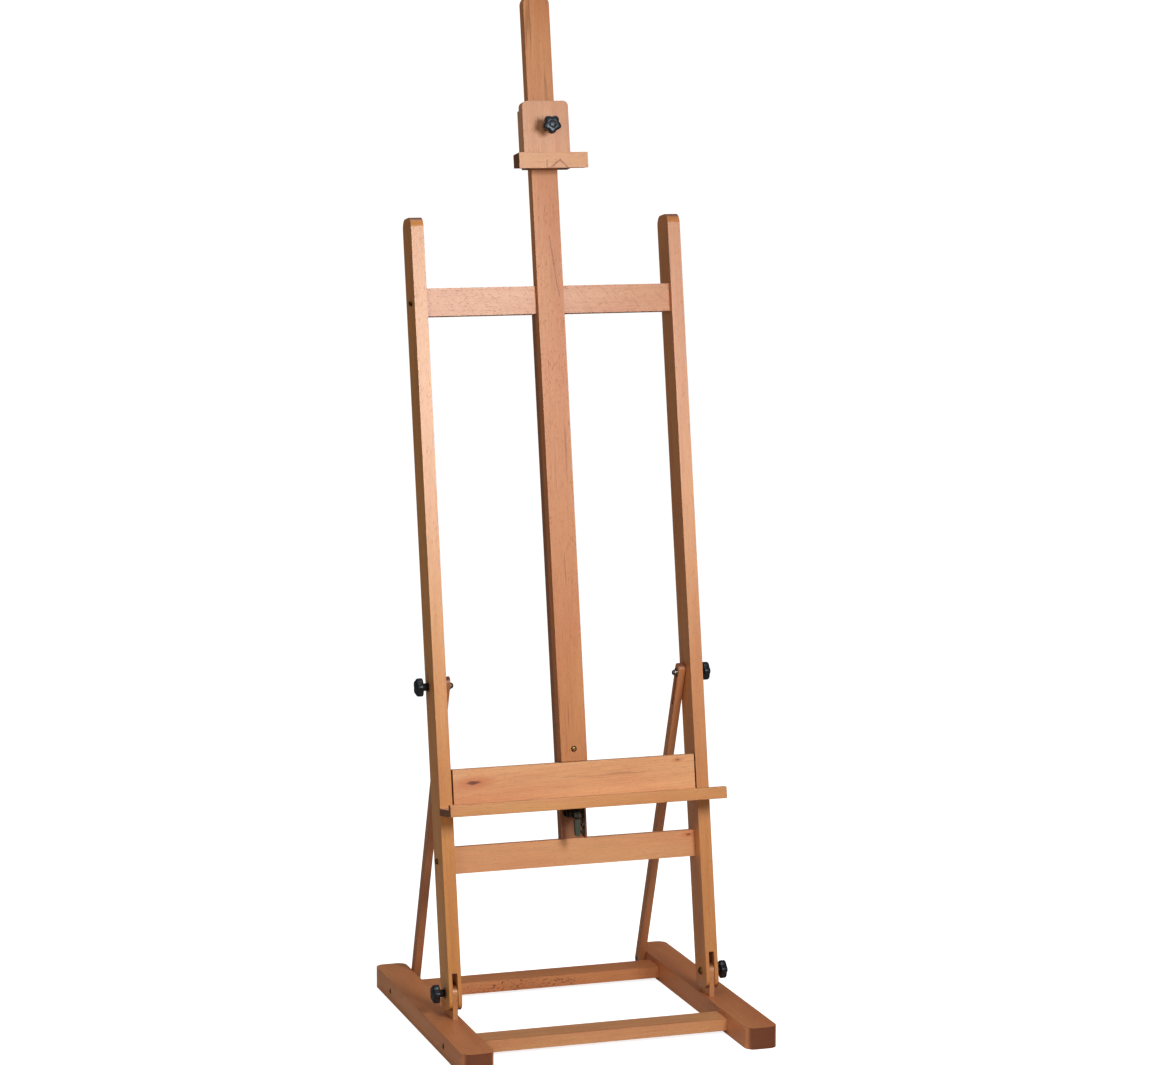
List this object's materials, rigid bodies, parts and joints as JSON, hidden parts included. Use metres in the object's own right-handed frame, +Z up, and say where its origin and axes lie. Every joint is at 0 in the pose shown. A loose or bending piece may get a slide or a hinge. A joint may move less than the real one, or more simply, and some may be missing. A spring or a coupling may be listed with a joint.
{
  "type": "artist easel",
  "caption": "Wooden H-frame studio easel: leaning frame on a low flat base, with a ratchet canvas tray, a sliding mast, a clamping canvas holder and slotted rear struts.",
  "frame": {"origin": "middle of the base's footprint, on the floor", "axes": "+Z up; +Y to the back, where the frame leans; +X to the right of a painter who faces the easel"},
  "size_m": [0.542, 0.581, 1.732],
  "materials": {
    "beech": "oiled, satin",
    "zinc_steel": "dull zinc plate",
    "brass": "dull",
    "black_plastic": "glossy moulded",
    "olive_plastic": "matte dipped grip"
  },
  "bodies": {
    "base": {"runner_left": "beech", "runner_right": "beech", "front_rail": "beech", "rear_rail": "beech", "tongue_left": "beech", "tongue_right": "beech", "rail_bolts": "zinc_steel", "rail_nuts": "zinc_steel", "strut_pivot_screws": "zinc_steel"},
    "frame": {"upright_left": "beech", "upright_right": "beech", "upper_crossbar": "beech", "lower_crossbar": "beech", "back_rail": "beech", "back_rail_screws": "zinc_steel", "ratchet_rack": "zinc_steel", "crossbar_bolts": "brass", "crossbar_nuts": "zinc_steel", "pivot_bolts": "zinc_steel", "strut_bolts": "zinc_steel", "frame_washers": "zinc_steel"},
    "strut_left": {"strut_left": "beech"},
    "strut_right": {"strut_right": "beech"},
    "pivot_knob_left": {"pivot_knob_left": "black_plastic"},
    "pivot_knob_right": {"pivot_knob_right": "black_plastic"},
    "strut_knob_left": {"strut_knob_left": "black_plastic"},
    "strut_knob_right": {"strut_knob_right": "black_plastic"},
    "tray": {"tray_board": "beech", "tray_shelf": "beech", "tray_lip": "beech", "tray_screws": "zinc_steel", "tray_cheek_left": "beech", "tray_cheek_right": "beech", "tray_keeper": "beech", "ratchet_bracket": "zinc_steel", "ratchet_spring": "zinc_steel"},
    "ratchet": {"ratchet_shaft": "zinc_steel", "ratchet_pawl": "zinc_steel", "ratchet_lever": "zinc_steel", "lever_grip": "olive_plastic"},
    "mast": {"mast": "beech", "mast_bolt": "zinc_steel", "mast_washer": "zinc_steel", "mast_guide": "black_plastic", "mast_keeper": "zinc_steel", "mast_keeper_screws": "zinc_steel"},
    "mast_knob": {"mast_knob": "black_plastic"},
    "holder": {"holder_plate": "beech", "holder_cheek_left": "beech", "holder_cheek_right": "beech", "holder_back": "beech", "holder_ledge": "beech", "holder_screws": "zinc_steel", "holder_insert": "brass"},
    "holder_knob": {"holder_knob": "black_plastic", "holder_stud": "zinc_steel"}
  },
  "joints": [
    {"name": "frame_tilt", "type": "hinge", "parent": "base", "child": "frame", "pos_m": [0, -0.062, 0.076], "axis": [-1, 0, 0], "range_deg": [0, 12]},
    {"name": "strut_left_pivot", "type": "hinge", "parent": "base", "child": "strut_left", "pos_m": [-0.209, 0.243, 0.02], "axis": [-1, 0, 0], "range_deg": [0, 9.1]},
    {"name": "strut_right_pivot", "type": "hinge", "parent": "base", "child": "strut_right", "pos_m": [0.209, 0.243, 0.02], "axis": [-1, 0, 0], "range_deg": [0, 9.1]},
    {"name": "pivot_knob_left_turn", "type": "hinge", "parent": "frame", "child": "pivot_knob_left", "pos_m": [-0.25, -0.062, 0.076], "axis": [-1, 0, 0], "continuous": true},
    {"name": "pivot_knob_right_turn", "type": "hinge", "parent": "frame", "child": "pivot_knob_right", "pos_m": [0.25, -0.062, 0.076], "axis": [1, 0, 0], "continuous": true},
    {"name": "strut_knob_left_turn", "type": "hinge", "parent": "frame", "child": "strut_knob_left", "pos_m": [-0.25, 0.02874, 0.57998], "axis": [-1, 0, 0], "continuous": true},
    {"name": "strut_knob_right_turn", "type": "hinge", "parent": "frame", "child": "strut_knob_right", "pos_m": [0.25, 0.02874, 0.57998], "axis": [1, 0, 0], "continuous": true},
    {"name": "tray_lift", "type": "slide", "parent": "frame", "child": "tray", "axis": [0, 0.1599, 0.9871], "range_m": [0, 0.144]},
    {"name": "ratchet_release", "type": "hinge", "parent": "tray", "child": "ratchet", "pos_m": [-0.009, -0.04589, 0.36312], "axis": [0, -0.9871, 0.1599], "range_deg": [0, 25], "stiffness_Nm_per_rad": 0.12, "springref_deg": -20.05},
    {"name": "mast_slide", "type": "slide", "parent": "tray", "child": "mast", "axis": [0, 0.1599, 0.9871], "range_m": [0, 0.406]},
    {"name": "mast_knob_turn", "type": "hinge", "parent": "mast", "child": "mast_knob", "pos_m": [0, 0.02083, 0.46233], "axis": [0, 0.9871, -0.1599], "continuous": true},
    {"name": "holder_slide", "type": "slide", "parent": "mast", "child": "holder", "axis": [0, 0.1599, 0.9871], "range_m": [-0.165, 0.17]},
    {"name": "holder_knob_turn", "type": "hinge", "parent": "holder", "child": "holder_knob", "pos_m": [0, 0.0899, 1.51422], "axis": [0, -0.9871, 0.1599], "continuous": true}
  ],
  "couplings": [
    {"joint": "strut_left_pivot", "follows": "frame_tilt", "ratio": 0.75531},
    {"joint": "strut_right_pivot", "follows": "frame_tilt", "ratio": 0.75531}
  ]
}
